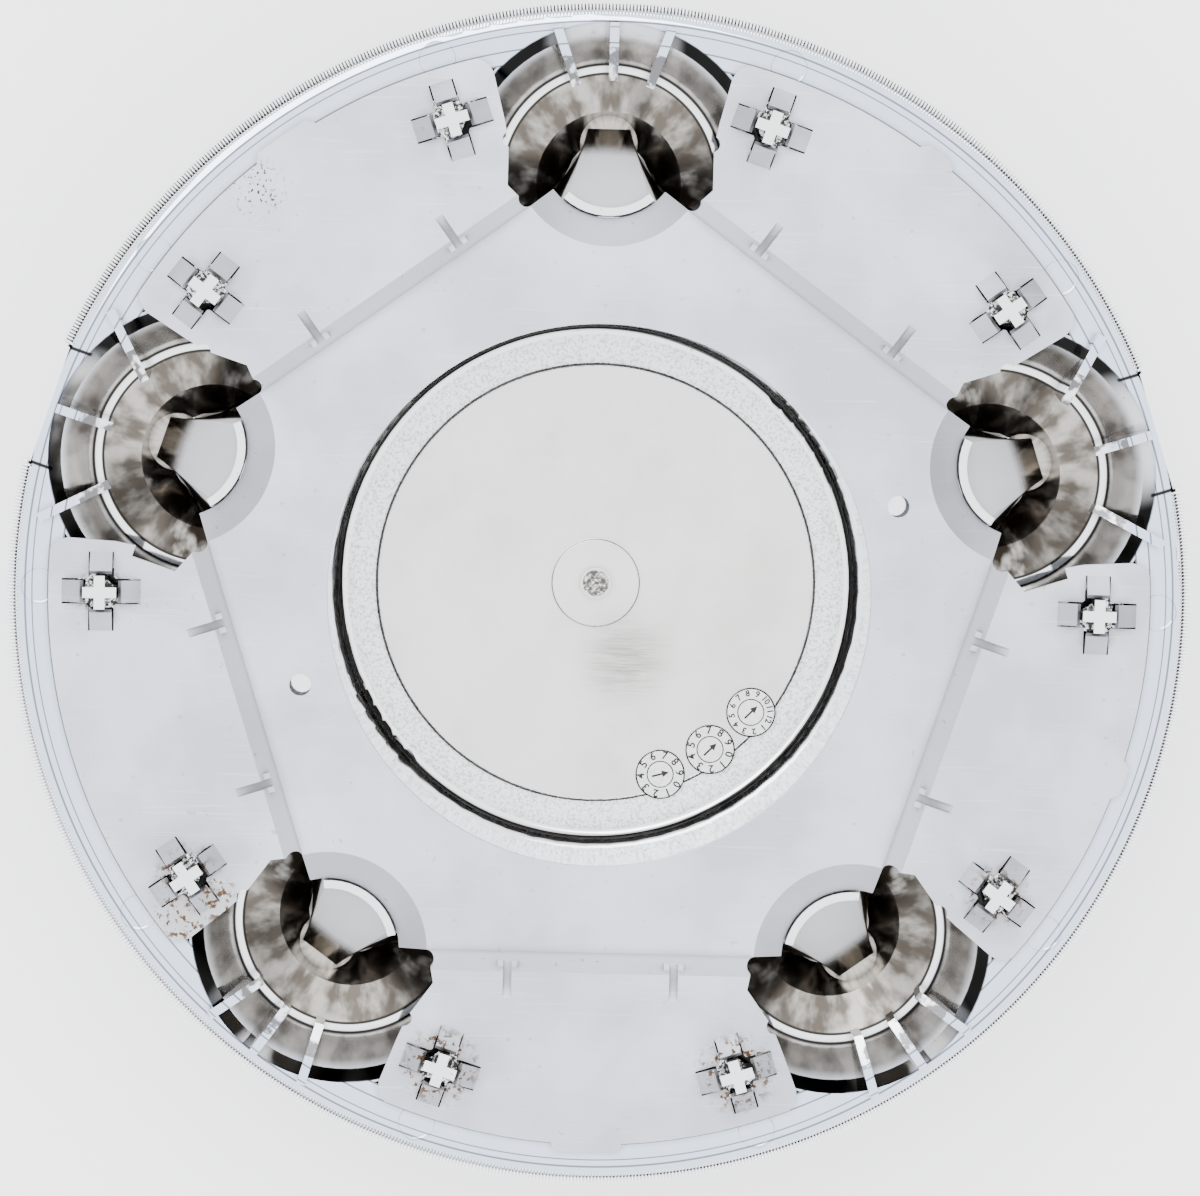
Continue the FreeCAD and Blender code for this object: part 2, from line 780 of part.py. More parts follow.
def tabs(body):
    sketch = sketch_on(body, "tab_outlines", "XY_Plane", ("0", "0", "seat_height"))
    for lobe, (half, slant) in TABS.items():
        draw(sketch, turned(tab_outline(half, slant), lobe - 90))
    straight(body, "Pad", "tabs", sketch, "sheet")


def retainer_plate(doc):
    body = doc.addObject("PartDesign::Body", "retainer_plate")
    body.Label = "retainer_plate"
    sheet_and_pan(body)
    tabs(body)
    tang_holes(body)
    tangs(body)
    hub_hole(body)
    pilot_holes(body)
    slots(body)
    turned_edges(body)
    darts(body)
    return body


# Checks and files

ADDING = ("Pad", "Revolution", "AdditiveLoft")
CUTTING = ("Pocket", "Groove", "SubtractiveLoft")


def check_objects(doc):
    for item in doc.Objects:
        if "Invalid" in item.State or "Error" in item.State:
            raise RuntimeError(f"{item.Name} did not build: {item.State}")


def check_volumes(body):
    """Every adding feature adds and every cutting feature cuts."""
    before = 0.0
    for feature in body.Group:
        kind = feature.TypeId.split("::")[1]
        if kind not in ADDING + CUTTING + ("PolarPattern",):
            continue
        now = feature.Shape.Volume
        if (kind in ADDING and now <= before) or (kind in CUTTING and now >= before):
            raise RuntimeError(f"{feature.Name} changed nothing")
        before = now


def export(body):
    shape = body.Shape
    if shape.isNull() or not shape.isValid():
        raise RuntimeError(f"{body.Label} has no valid shape")
    if len(shape.Solids) != 1:
        raise RuntimeError(f"{body.Label} is in {len(shape.Solids)} pieces")
    shape.exportStep(os.path.join("parts", body.Label + ".step"))
    box = shape.BoundBox
    print(body.Label, round(shape.Volume), "mm3", box)


doc = FreeCAD.newDocument("wheel_centre_cap")
SHEET = fill_sheet(doc)
BODIES = (cap_moulding(doc), retainer_plate(doc))
doc.recompute()
check_objects(doc)
os.makedirs("parts", exist_ok=True)
for piece in BODIES:
    check_volumes(piece)
    export(piece)
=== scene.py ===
import math

import bmesh
import bpy
from mathutils import Matrix, Vector


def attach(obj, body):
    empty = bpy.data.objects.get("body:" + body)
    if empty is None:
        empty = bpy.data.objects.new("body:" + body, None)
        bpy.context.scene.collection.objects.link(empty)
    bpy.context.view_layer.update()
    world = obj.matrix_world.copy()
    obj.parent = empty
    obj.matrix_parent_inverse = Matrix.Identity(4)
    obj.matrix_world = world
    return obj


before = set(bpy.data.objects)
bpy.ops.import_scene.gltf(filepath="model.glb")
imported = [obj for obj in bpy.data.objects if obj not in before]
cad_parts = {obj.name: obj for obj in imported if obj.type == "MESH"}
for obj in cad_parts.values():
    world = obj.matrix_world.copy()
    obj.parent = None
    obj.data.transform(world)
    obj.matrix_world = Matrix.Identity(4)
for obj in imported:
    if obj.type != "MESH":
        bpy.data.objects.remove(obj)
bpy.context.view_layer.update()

MM = 0.001
BODY = "root"
STEEL_SLOT = "plated_steel"

# Sizes of the cap in millimetres and degrees, as the frame has them
SEAT_HEIGHT = 41.5
LIP_CENTER = (85.9, 38.5)
LIP_RADIUS = 3.0
POCKETS = 5
POCKET_TURN = 18
NOTCH_TURNS = (18, 162)
NOTCH_SPREAD = 6.2
NOTCH_HALF = 9.0
LOBE_TURNS = (54, 126, 198, 270, 342)
POST_RING = 74.5
POST_TURN = math.radians(18.6)
LEDGE_PLACE = 62.6
PLATE_RADIUS = 82.4
DISC_RADIUS = 34.0
DISC_TOP = 3.0
ANNULUS_TOP = 2.4
GATE_RADIUS = 6.7
GATE_TOP = 3.3

# Fine parts made here, in millimetres and degrees
KNURL_TEETH = 1080
KNURL_HEIGHT = 0.24
KNURL_LEVELS = (16, 28, 40, 52, 62, 72)
KNURL_SINK = 0.06
KNURL_SHADE_TOP = (41.1, 40.7)
MARK_RING = 83.8
MARK_SPREAD = 17.8
MARK_RADIUS = 2.75
MARK_HEIGHT = 0.09
MARK_CLEARANCE = 0.1
# Steps in from a mark's edge, each with its height over the rim land
MARK_PROFILE = ((0.0, -0.1), (0.1, MARK_HEIGHT), (0.35, MARK_HEIGHT), (0.5, MARK_HEIGHT - 0.05))
DIAL_RADIUS = 3.9
DIAL_INNER = 1.95
DIAL_TOP = 3.08
DIAL_FOOT = 0.1
DIAL_EDGE = 0.12
DIAL_INNER_EDGE = 0.1
POINTER_FOOT = 0.02
RELIEF = 0.09
STROKE_GAIN = 0.045
FIGURE_RING = 3.0
FIGURE_SIZES = {10: 1.7, 12: 1.35}
POINTER = (
    (-1.35, -0.16), (0.3, -0.16), (0.3, -0.55), (1.45, 0.0), (0.3, 0.55), (0.3, 0.16), (-1.35, 0.16),
)
# Name, centre, figures, turn of the first figure and turn of the pointer
DIALS = (
    ("dial_a", (10.9, -29.9), range(10), 330, 15),
    ("dial_b", (18.65, -25.8), range(10), 347, 45),
    ("dial_c", (24.9, -19.8), range(1, 13), 311, 45),
)

# Colours, and how metallic or bright some of them are
BRIGHT = (0.90, 0.92, 0.95, 1)
# Painted highlight: a white that stands in for reflected light on the pocket facets and the plate's
# slopes
PAINTED_HIGHLIGHT_WHITE = (0.86, 0.88, 0.93, 1)
LAND_BLUE = (0.64, 0.73, 0.88, 1)
DISC_GREY = (0.78, 0.78, 0.765, 1)
# Painted shade on faces that look down
UNDERSIDE_SHADE = (0.40, 0.415, 0.44, 1)
CHROME_SPECK = (0.58, 0.57, 0.55, 1)
# Painted shade and reflection in the pockets and, darker, in their valleys
POCKET_SHADE_AND_REFLECTION = ((0.11, 0.095, 0.08, 1), (0.42, 0.395, 0.36, 1))
VALLEY_SHADE_AND_REFLECTION = ((0.022, 0.017, 0.012, 1), (0.36, 0.34, 0.31, 1))
# Painted shade on the bevel at the top of each pocket
BEVEL_SHADE = (0.012, 0.012, 0.012, 1)
# Painted shade: thin dark lines along the ledge, the rim and the gap at the plate's edge
LEDGE_SHADE_LINE = (0.03, 0.027, 0.024, 1)
RIM_SHADE_LINE = (0.06, 0.06, 0.07, 1)
# Painted shade in the gaps round the post stars and in the knurl grooves
GAP_SHADE = (0.02, 0.02, 0.02, 1)
# Painted shade at the ends of the rim's lip beside each notch
LIP_END_SHADE = (0.02, 0.02, 0.022, 1)
# Painted shade in corners and along contact lines, and a painted dark reflection at the foot of the
# dish wall
PAINTED_DARK = (0.05, 0.045, 0.04, 1)
# Painted shade on the sloping faces of the ribs
RIB_SLOPE_SHADE = (0.16, 0.16, 0.17, 1)
SMUDGE = (0.58, 0.575, 0.56, 1)
RING_GREY = (0.55, 0.55, 0.54, 1)
PATCH_GREY = (0.30, 0.29, 0.28, 1)
STUB_GREY = (0.09, 0.085, 0.08, 1)
STEEL_SHADES = ((0.49, 0.51, 0.575, 1), (0.67, 0.69, 0.76, 1))
# Painted shade round the posts of the plate
POST_SHADE_GREY = (0.36, 0.37, 0.42, 1)
SCRATCH = (0.80, 0.81, 0.84, 1)
RUST_TINT = (0.42, 0.38, 0.33, 1)
STEEL_SPECK = (0.35, 0.34, 0.33, 1)
SOOT = (0.06, 0.055, 0.05, 1)
RUST = (0.14, 0.07, 0.03, 1)
DIAL_SHADES = ((0.74, 0.74, 0.74, 1), (0.88, 0.885, 0.89, 1))
FIGURE_GREY = (0.035, 0.035, 0.035, 1)
FLOOR_WHITE = (0.95, 0.955, 0.96, 1)
STEEL_METALLIC = 0.7
FLOOR_GLOW = 1.2
SKY_STRENGTH = 3.0

# Soft steps of the paint: where a mask begins and where it is full, in millimetres from the front
# (height), from the axis (radius), from a pocket's line (side), or as the rise of the normal
DISH_FLOOR_HEIGHT = (4.2, 4.0)
DISH_FLOOR_RADIUS = (39.1, 38.8)
DISC_STEP = (34.05, 33.95)
STUB_STEP = (2.3, 1.9)
FOOT_INNER = (39.0, 39.3)
FOOT_OUTER = (42.0, 41.5)
FOOT_BOTTOM = (2.45, 2.8)
FOOT_TOP = (14.0, 7.0)
LEVEL_RISE = (0.90, 0.97)
LEDGE_LEVEL = (27.0, 28.0)
POCKET_INNER = (51.0, 53.0)
POCKET_TOP = (40.6, 37.0)
FACING_UP = (-0.02, 0.02)
FACING_DOWN = (0.06, -0.12)
BEVEL_BOTTOM = (39.5, 39.8)
BEVEL_TOP = (41.5, 41.3)
BEVEL_OUTER = (85.8, 85.3)
BEVEL_SIDE = (6.0, 11.0, 0.15, 1.0)
LEDGE_BOTTOM = (28.5, 29.0)
LEDGE_TOP = (31.5, 31.0)
POST_GAP = (4.4, 4.0)
POST_TOP = (45.9, 45.3)
RIM_LAND = (41.2, 41.4)
LIP_DEPTH = (34.0, 36.0)
FACET_WIDTH = (55.0, 71.0, 8.3, 3.4)
FACET_EDGE = (-0.2, 0.2)
VALLEY_EDGE = (0.2, -0.4)
FACET_OUTER = (68.5, 66.0)
VALLEY_OUTER = (69.0, 64.0)
LAND_HEIGHT = (41.0, 41.3)
LAND_INNER = (78.5, 79.5)
RIB_BOTTOM = (43.5, 43.8)
RIB_STEEPEST = (0.90, 0.93)
RIB_FLATTEST = (0.99, 0.97)

# Thin lines of painted shade, each with its place and half its width
LEDGE_LINES = ((17.4, 0.35), (16.0, 0.3))
RIM_LINES = ((85.95, 0.22), (84.9, 0.14), (82.55, 0.18), (80.6, 0.2))
LIP_END_WIDTH = 0.4

# Spots, each with its place and reach
PATCH = (4.9, -12.0, 3.0, 10.0)
SOOT_SPOT = (-52.7, 59.6, SEAT_HEIGHT, 7.0)
# Centre of the knurl's strongest painted groove shade, at the top left
KNURL_SHADE_SPOT = (-27.0, 84.0, 40.0, 112.0)
# Reach of the painted shade at each end of the lip
LIP_END_REACH = 2.6
RUST_SPOTS = ((-61.5, -49.0, SEAT_HEIGHT, 6.0), (-56.5, -46.5, SEAT_HEIGHT, 5.0))
# Turn of a post with rust round it, and the reach of the rust
RUSTY_POSTS = ((252.6, 8.0), (287.4, 8.0), (324.6, 6.5), (215.4, 6.5), (180.6, 5.0), (108.6, 4.5))


# Shader helpers

class Nodes:
    """A short way to add and join the nodes of one material or world."""

    def __init__(self, tree):
        self.tree = tree
        tree.nodes.clear()

    def add(self, kind, inputs=None, **settings):
        node = self.tree.nodes.new(kind)
        for name, value in settings.items():
            setattr(node, name, value)
        for name, value in (inputs or {}).items():
            self.put(node.inputs[name], value)
        return node

    def put(self, socket, value):
        if isinstance(value, bpy.types.NodeSocket):
            self.tree.links.new(value, socket)
        else:
            socket.default_value = value

    def math(self, operation, first, second=0.0, clamp=False):
        inputs = {0: first, 1: second}
        node = self.add("ShaderNodeMath", inputs, operation=operation, use_clamp=clamp)
        return node.outputs[0]

    def times(self, *values):
        product = values[0]
        for value in values[1:]:
            product = self.math("MULTIPLY", product, value)
        return product

    def plus(self, *values):
        total = values[0]
        for value in values[1:]:
            total = self.math("ADD", total, value)
        return total

    def ramp(self, value, low, high, start=0.0, end=1.0):
        """A value mapped smoothly from low..high to start..end."""
        node = self.add("ShaderNodeMapRange", {"Value": value, "From Min": low, "From Max": high,
                                               "To Min": start, "To Max": end},
                        interpolation_type="SMOOTHSTEP")
        return node.outputs["Result"]

    def mix(self, factor, first, second):
        node = self.add("ShaderNodeMix", {0: factor, 6: first, 7: second}, data_type="RGBA")
        return node.outputs[2]

    def noise(self, where, scale, detail=3.0, roughness=0.5):
        node = self.add("ShaderNodeTexNoise", {"Vector": where, "Scale": scale, "Detail": detail,
                                               "Roughness": roughness})
        return node.outputs["Fac"]

    def stretched(self, where, turn, scale):
        """The coordinates turned about the wheel axis and stretched for brushed marks."""
        node = self.add("ShaderNodeMapping", {"Vector": where, "Rotation": (0, 0, math.radians(turn)),
                                              "Scale": scale})
        return node.outputs["Vector"]

    def near(self, where, places):
        """How near a point is to the nearest place: 1 at the place, 0 from its reach on."""
        nearest = 0.0
        for across, along, height, reach in places:
            spot = (across, along, height)
            distance = self.add("ShaderNodeVectorMath", {0: where, 1: spot}, operation="DISTANCE")
            nearness = self.ramp(distance.outputs["Value"], reach, 0.0)
            nearest = self.math("MAXIMUM", nearness, nearest)
        return nearest


def new_material(name):
    material = bpy.data.materials.new(name)
    material.use_nodes = True
    return material, Nodes(material.node_tree)


class Place:
    """Sockets that say where a point of the cap lies, in millimetres."""

    def __init__(self, nodes):
        self.nodes = nodes
        coordinates = nodes.add("ShaderNodeTexCoord").outputs["Object"]
        inputs = {0: coordinates, "Scale": 1 / MM}
        scaled = nodes.add("ShaderNodeVectorMath", inputs, operation="SCALE")
        self.where = scaled.outputs["Vector"]
        split = nodes.add("ShaderNodeSeparateXYZ", {"Vector": self.where})
        across, along, self.height = split.outputs
        flat = nodes.add("ShaderNodeCombineXYZ", {"X": across, "Y": along}).outputs["Vector"]
        length = nodes.add("ShaderNodeVectorMath", {0: flat}, operation="LENGTH")
        self.radius = length.outputs["Value"]
        turn = nodes.math("SUBTRACT", nodes.math("ARCTAN2", along, across), math.radians(POCKET_TURN))
        from_pocket = nodes.math("PINGPONG", turn, math.radians(180 / POCKETS))
        self.side = nodes.times(self.radius, nodes.math("SINE", from_pocket))
        self.along = nodes.times(self.radius, nodes.math("COSINE", from_pocket))
        normal = nodes.add("ShaderNodeNewGeometry").outputs["Normal"]
        self.up = nodes.add("ShaderNodeSeparateXYZ", {"Vector": normal}).outputs["Z"]

    def distance(self, along, side):
        """How far a point is from a place given along and beside the nearest pocket's line."""
        ahead = self.nodes.math("SUBTRACT", self.along, along)
        beside = self.nodes.math("SUBTRACT", self.side, side)
        squares = self.nodes.plus(self.nodes.times(ahead, ahead), self.nodes.times(beside, beside))
        return self.nodes.math("SQRT", squares)

    def flutes(self):
        """Soft streaks that run down a pocket's walls, alike on both its sides."""
        nodes = self.nodes
        turn = nodes.math("ARCTAN2", self.side, nodes.math("SUBTRACT", self.along, LEDGE_PLACE))
        reach = self.distance(LEDGE_PLACE, 0.0)
        where = nodes.add("ShaderNodeCombineXYZ", {
            "X": nodes.times(turn, 2.4), "Y": nodes.times(reach, 0.11),
            "Z": nodes.times(self.radius, 0.004)})
        return nodes.noise(where.outputs["Vector"], 1.6, 3.0, 0.5)

    def lines(self, value, *lines):
        """1 where the value lies on a thin line, 0 beside it, for each line's place and half width."""
        marks = []
        for place, width in lines:
            off = self.nodes.math("ABSOLUTE", self.nodes.math("SUBTRACT", value, place))
            marks.append(self.nodes.ramp(off, width, width / 3))
        return self.nodes.plus(*marks)

    def post(self):
        """How far a point is from the middle of the nearest post."""
        return self.distance(POST_RING * math.cos(POST_TURN), POST_RING * math.sin(POST_TURN))


def bump(nodes, height, strength, distance, normal=None):
    inputs = {"Strength": strength, "Distance": distance, "Height": height}
    if normal:
        inputs["Normal"] = normal
    return nodes.add("ShaderNodeBump", inputs).outputs["Normal"]


def finish_metal(nodes, colour, rough, normal, metallic=1.0):
    shader = nodes.add("ShaderNodeBsdfPrincipled", {
        "Base Color": colour, "Metallic": metallic, "Roughness": rough, "Normal": normal})
    output = nodes.add("ShaderNodeOutputMaterial")
    nodes.put(output.inputs["Surface"], shader.outputs["BSDF"])


def clean(nodes, reach, least=0.0):
    """1 on open surfaces, less within reach (in millimetres) of corners, a factor for shade painted
    into corners and along contact lines.
    """
    inputs = {"Distance": reach * MM}
    shade = nodes.add("ShaderNodeAmbientOcclusion", inputs, samples=1).outputs["AO"]
    return nodes.ramp(shade, 0.40, 0.92, least, 1.0)


def on_ring(radius, turn, height, reach):
    """A spot given by its radius and turn, with its reach."""
    angle = math.radians(turn)
    return radius * math.cos(angle), radius * math.sin(angle), height, reach


# Materials

class ChromeMasks:
    """Where each finish of the moulding and each painted shade, highlight and reflection lies: 1 on it
    and 0 off it.
    """

    def __init__(self, nodes, at):
        low = nodes.ramp(at.height, *DISH_FLOOR_HEIGHT)
        in_dish = nodes.times(low, nodes.ramp(at.radius, *DISH_FLOOR_RADIUS))
        self.disc = nodes.times(low, nodes.ramp(at.radius, *DISC_STEP))
        self.ring = nodes.math("SUBTRACT", in_dish, self.disc, clamp=True)
        self.stub = nodes.times(low, nodes.ramp(at.radius, *STUB_STEP))
        # The foot of the dish wall, painted dark as shade and reflection
        self.foot = nodes.times(
            nodes.ramp(at.radius, *FOOT_INNER), nodes.ramp(at.radius, *FOOT_OUTER),
            nodes.ramp(at.height, *FOOT_BOTTOM), nodes.ramp(at.height, *FOOT_TOP))
        # Faces that look down, for painted shade
        self.under = nodes.ramp(at.up, *FACING_DOWN)
        level = nodes.times(nodes.ramp(at.up, *LEVEL_RISE), nodes.ramp(at.height, *LEDGE_LEVEL))
        sloped = nodes.math("SUBTRACT", 1.0, level)
        self.pocket = nodes.times(
            nodes.ramp(at.radius, *POCKET_INNER), nodes.ramp(at.height, *POCKET_TOP), sloped,
            nodes.ramp(at.up, *FACING_UP))
        self.bevel = nodes.times(
            nodes.ramp(at.height, *BEVEL_BOTTOM), nodes.ramp(at.height, *BEVEL_TOP), sloped,
            nodes.ramp(at.radius, *BEVEL_OUTER), nodes.ramp(at.side, *BEVEL_SIDE))
        self.ledge_lines = nodes.times(
            at.lines(at.distance(LEDGE_PLACE, 0.0), *LEDGE_LINES),
            nodes.ramp(at.height, *LEDGE_TOP), nodes.ramp(at.height, *LEDGE_BOTTOM))
        self.rim_lines = nodes.times(
            at.lines(at.radius, *RIM_LINES), nodes.ramp(at.height, *RIM_LAND), 0.8)
        self.lip_ends = nodes.times(
            nodes.ramp(nodes.near(at.where, lip_end_spots()), 0.05, 0.25),
            at.lines(at.side, (NOTCH_HALF, LIP_END_WIDTH)), nodes.ramp(at.height, *LIP_DEPTH))
        self.post_gap = nodes.times(
            nodes.ramp(at.post(), *POST_GAP), nodes.ramp(at.height, *POST_TOP))
        inside_facet = nodes.math("SUBTRACT", nodes.ramp(at.radius, *FACET_WIDTH), at.side)
        self.facet = nodes.times(
            self.pocket, nodes.ramp(at.radius, *FACET_OUTER), nodes.ramp(inside_facet, *FACET_EDGE))
        self.valley = nodes.times(
            self.pocket, nodes.ramp(at.radius, *VALLEY_OUTER), nodes.ramp(inside_facet, *VALLEY_EDGE))
        self.land = nodes.times(
            nodes.ramp(at.height, *LAND_HEIGHT), nodes.ramp(at.radius, *LAND_INNER))
        # Sloping faces of the ribs, for painted shade
        self.rib_slope = nodes.times(
            nodes.ramp(at.height, *RIB_BOTTOM), nodes.ramp(at.up, *RIB_STEEPEST),
            nodes.ramp(at.up, *RIB_FLATTEST))


def lip_end_spots():
    """Where the lip ends beside each notch."""
    return [on_ring(LIP_CENTER[0], turn + side, SEAT_HEIGHT, LIP_END_REACH)
            for turn in NOTCH_TURNS for side in (-NOTCH_SPREAD, NOTCH_SPREAD)]


def chrome_colour(nodes, at, masks, grain):
    """The plating's colour, laid on mask by mask, with painted shade, highlight and reflection among
    the masks.
    """
    flutes = at.flutes()
    brushed = nodes.noise(nodes.stretched(at.where, 90, (3, 60, 3)), 0.06, 2.0, 0.7)
    patch = nodes.times(nodes.near(at.where, (PATCH,)), nodes.ramp(brushed, 0.3, 0.7, 0.35, 1.0))
    specks = nodes.ramp(nodes.noise(at.where, 1.1, 2.0), 0.70, 0.73)
    smudges = nodes.ramp(nodes.noise(at.where, 0.06, 3.0, 0.7), 0.35, 0.75)
    blotches = nodes.ramp(nodes.noise(at.where, 0.5, 2.0), 0.4, 0.55)
    pocket_shade = nodes.mix(nodes.ramp(flutes, 0.36, 0.62), *POCKET_SHADE_AND_REFLECTION)
    streaks = nodes.mix(nodes.ramp(flutes, 0.52, 0.68), *VALLEY_SHADE_AND_REFLECTION)
    colour = nodes.mix(specks, BRIGHT, CHROME_SPECK)
    # Painted shade, highlight and reflection: the underside, pocket, valley, facet, bevel, lines, lip
    # ends, post gaps, foot and rib slopes
    layers = (
        (masks.under, UNDERSIDE_SHADE),
        (masks.pocket, pocket_shade),
        (masks.valley, streaks),
        (masks.facet, PAINTED_HIGHLIGHT_WHITE),
        (masks.land, LAND_BLUE),
        (masks.disc, DISC_GREY),
        (masks.bevel, BEVEL_SHADE),
        (masks.ledge_lines, LEDGE_SHADE_LINE),
        (masks.rim_lines, RIM_SHADE_LINE),
        (masks.lip_ends, LIP_END_SHADE),
        (nodes.times(masks.post_gap, nodes.ramp(grain, 0.62, 0.45)), GAP_SHADE),
        (masks.foot, PAINTED_DARK),
        (nodes.times(masks.rib_slope, blotches), RIB_SLOPE_SHADE),
        (nodes.times(smudges, masks.disc, 0.55), SMUDGE),
        (nodes.times(masks.ring, nodes.ramp(grain, 0.45, 0.65)), RING_GREY),
        (patch, PATCH_GREY),
        (nodes.times(masks.stub, nodes.ramp(grain, 0.3, 0.6)), STUB_GREY),
    )
    for mask, shade in layers:
        colour = nodes.mix(mask, colour, shade)
    # Painted shade darkens corners and contact lines
    return nodes.mix(clean(nodes, 1.2, 0.25), PAINTED_DARK, colour)


def chrome_material():
    """Bright plating, painted dark brown in the pockets as shade and reflection, satin in the dish and
    rough on the gate stub.
    """
    material, nodes = new_material("bright_chrome")
    at = Place(nodes)
    masks = ChromeMasks(nodes, at)
    grain = nodes.noise(at.where, 2.2, 2.0, 0.65)
    waves = nodes.noise(at.where, 0.09, 2.0)
    rough = nodes.plus(
        nodes.ramp(waves, 0.35, 0.7, 0.04, 0.07), nodes.times(masks.disc, 0.16),
        nodes.times(masks.ring, 0.22), nodes.times(masks.stub, 0.3), nodes.times(masks.pocket, 0.13),
        nodes.times(masks.facet, 0.15), nodes.times(masks.rib_slope, 0.2))
    strength = nodes.plus(
        nodes.times(masks.ring, 0.7), nodes.times(masks.disc, 0.16), nodes.times(masks.stub, 0.8),
        nodes.times(masks.rib_slope, 0.2))
    normal = bump(nodes, waves, 0.2, 0.0004, bump(nodes, grain, strength, 0.00008))
    # The facets turn less metallic, so their white shows as a painted highlight under the overhead
    # light
    metallic = nodes.math("SUBTRACT", 1.0, nodes.times(masks.facet, 0.8))
    finish_metal(nodes, chrome_colour(nodes, at, masks, grain), rough, normal, metallic)
    return material


def knurl_material():
    """Bright teeth with painted shade in the grooves, darkest over the top left of the rim."""
    material, nodes = new_material("knurled_chrome")
    at = Place(nodes)
    out = nodes.math("SUBTRACT", at.radius, LIP_CENTER[0])
    rise = nodes.math("SUBTRACT", at.height, LIP_CENTER[1])
    reach = nodes.math("SQRT", nodes.plus(nodes.times(out, out), nodes.times(rise, rise)))
    groove = nodes.ramp(reach, LIP_RADIUS + KNURL_HEIGHT * 0.6, LIP_RADIUS + KNURL_HEIGHT * 0.2)
    top_left = nodes.near(at.where, (KNURL_SHADE_SPOT,))
    # Painted shade in the grooves, strongest round the spot at the top left
    dark = nodes.times(
        groove, nodes.ramp(top_left, 0.05, 0.28, 0.25, 1.0), nodes.ramp(at.height, *KNURL_SHADE_TOP))
    grain = nodes.noise(at.where, 1.8, 3.0)
    colour = nodes.mix(dark, BRIGHT, GAP_SHADE)
    rough = nodes.ramp(grain, 0.3, 0.7, 0.08, 0.18)
    finish_metal(nodes, colour, rough, bump(nodes, grain, 0.1, 0.00003))
    return material


def rust_places():
    """The posts and slot corners where the photograph shows rust, with each spot's reach."""
    posts = [on_ring(POST_RING, turn, SEAT_HEIGHT, reach) for turn, reach in RUSTY_POSTS]
    return [*RUST_SPOTS, *posts]


def scratch_mask(nodes, at):
    """Fine scratches in three directions."""
    scratches = 0.0
    for turn, share in ((12, 0.66), (74, 0.68), (131, 0.70)):
        lines = nodes.noise(nodes.stretched(at.where, turn, (1, 45, 1)), 0.055, 2.0, 0.6)
        scratches = nodes.math("MAXIMUM", nodes.ramp(lines, share, share + 0.03), scratches)
    return scratches


def steel_material():
    """Satin plating with soft clouds, fine scratches, soot specks and a little rust at the posts, with
    painted highlight on slopes and painted shade round the posts and in corners.
    """
    material, nodes = new_material("satin_plated_steel")
    at = Place(nodes)
    cloud = nodes.noise(at.where, 0.045, 3.0, 0.6)
    fine = nodes.noise(at.where, 1.3, 2.0, 0.6)
    rusty = nodes.near(at.where, rust_places())
    stains = nodes.times(
        nodes.ramp(rusty, 0.0, 0.45), nodes.ramp(nodes.noise(at.where, 0.8, 3.0, 0.7), 0.52, 0.60))
    specks = nodes.ramp(nodes.noise(at.where, 0.7, 2.0), 0.71, 0.74)
    soot = nodes.times(
        nodes.ramp(nodes.near(at.where, (SOOT_SPOT,)), 0.1, 0.6),
        nodes.ramp(nodes.noise(at.where, 1.7, 2.0, 0.6), 0.58, 0.63))
    # Painted shade round each post
    post_shade = nodes.times(
        nodes.ramp(at.post(), 12.0, 4.5), nodes.ramp(nodes.noise(at.where, 0.12, 3.0), 0.35, 0.65))
    colour = nodes.mix(nodes.ramp(cloud, 0.3, 0.7), *STEEL_SHADES)
    layers = (
        # Painted highlight on sloping faces of the plate
        (nodes.ramp(at.up, 0.95, 0.55), PAINTED_HIGHLIGHT_WHITE),
        (nodes.times(post_shade, 0.5), POST_SHADE_GREY),
        (nodes.times(scratch_mask(nodes, at), 0.35), SCRATCH),
        (nodes.times(rusty, 0.45), RUST_TINT),
        (nodes.times(specks, 0.5), STEEL_SPECK),
        (soot, SOOT),
        (stains, RUST),
    )
    for mask, shade in layers:
        colour = nodes.mix(mask, colour, shade)
    # Painted shade darkens corners and contact lines
    colour = nodes.mix(clean(nodes, 1.6), PAINTED_DARK, colour)
    rough = nodes.plus(nodes.ramp(cloud, 0.3, 0.7, 0.40, 0.48), nodes.times(stains, 0.3))
    normal = bump(nodes, cloud, 0.10, 0.0012, bump(nodes, fine, 0.16, 0.00006))
    finish_metal(nodes, colour, rough, normal, STEEL_METALLIC)
    return material


def dial_material():
    """Plating on the small dials, with dark raised figures."""
    material, nodes = new_material("dial_chrome")
    at = Place(nodes)
    grain = nodes.noise(at.where, 1.5, 4.0, 0.6)
    raised = nodes.ramp(at.height, DIAL_TOP + RELIEF * 0.3, DIAL_TOP + RELIEF * 0.7)
    face = nodes.mix(nodes.ramp(grain, 0.3, 0.7), *DIAL_SHADES)
    colour = nodes.mix(raised, face, FIGURE_GREY)
    rough = nodes.ramp(grain, 0.3, 0.7, 0.14, 0.26)
    finish_metal(nodes, colour, rough, bump(nodes, grain, 0.25, 0.00005))
    return material


def floor_material():
    """A white floor that glows a little, so that the background stays pale."""
    material, nodes = new_material("pale_floor")
    shader = nodes.add("ShaderNodeBsdfPrincipled", {
        "Base Color": FLOOR_WHITE, "Roughness": 0.7,
        "Emission Color": (1.0, 1.0, 1.0, 1), "Emission Strength": FLOOR_GLOW})
    output = nodes.add("ShaderNodeOutputMaterial")
    nodes.put(output.inputs["Surface"], shader.outputs["BSDF"])
    return material


# Pieces

def add_piece(name, mesh, material):
    mesh.materials.append(material)
    piece = bpy.data.objects.new(name, mesh)
    bpy.context.collection.objects.link(piece)
    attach(piece, BODY)
    return piece


def polar(radius, turn, height):
    angle = math.radians(turn)
    return Vector((radius * math.cos(angle), radius * math.sin(angle), height)) * MM


